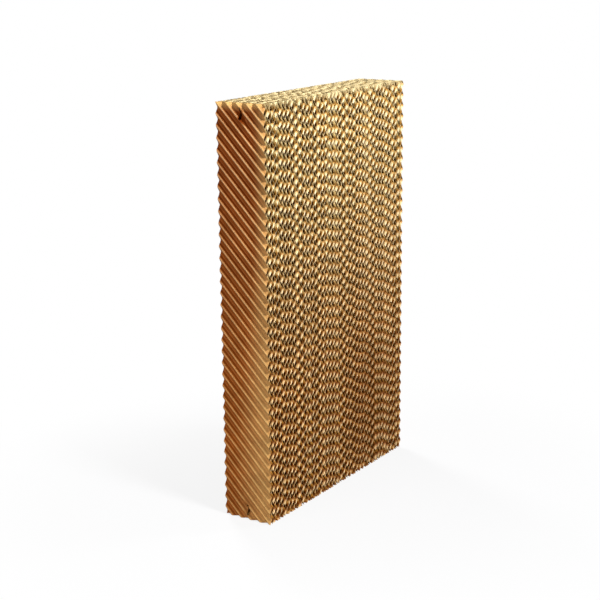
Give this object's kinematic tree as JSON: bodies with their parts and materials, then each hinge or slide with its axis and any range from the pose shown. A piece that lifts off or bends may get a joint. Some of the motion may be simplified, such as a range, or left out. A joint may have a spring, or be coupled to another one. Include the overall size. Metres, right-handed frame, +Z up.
{
  "type": "evaporative cooling pad",
  "caption": "Upright block of cross-fluted kraft paper sheets glued crest to crest, which cools air drawn through its slanting wet channels.",
  "frame": {"origin": "middle of the bottom face, on the floor that the pad stands on", "axes": "+Z up along the pad's height, +X through the stack of sheets from the slit end to the plain end, +Y along the airflow from the front face to the back"},
  "size_m": [0.6004, 0.126, 0.95],
  "materials": {
    "kraft_paper": "matt resin-stiffened kraft paper, darker in the flutes and pale on the sawn edges"
  },
  "bodies": {
    "root": {"left_end_sheet": "kraft_paper", "rising_sheets": "kraft_paper", "falling_sheets": "kraft_paper", "right_end_sheet": "kraft_paper"}
  },
  "joints": []
}
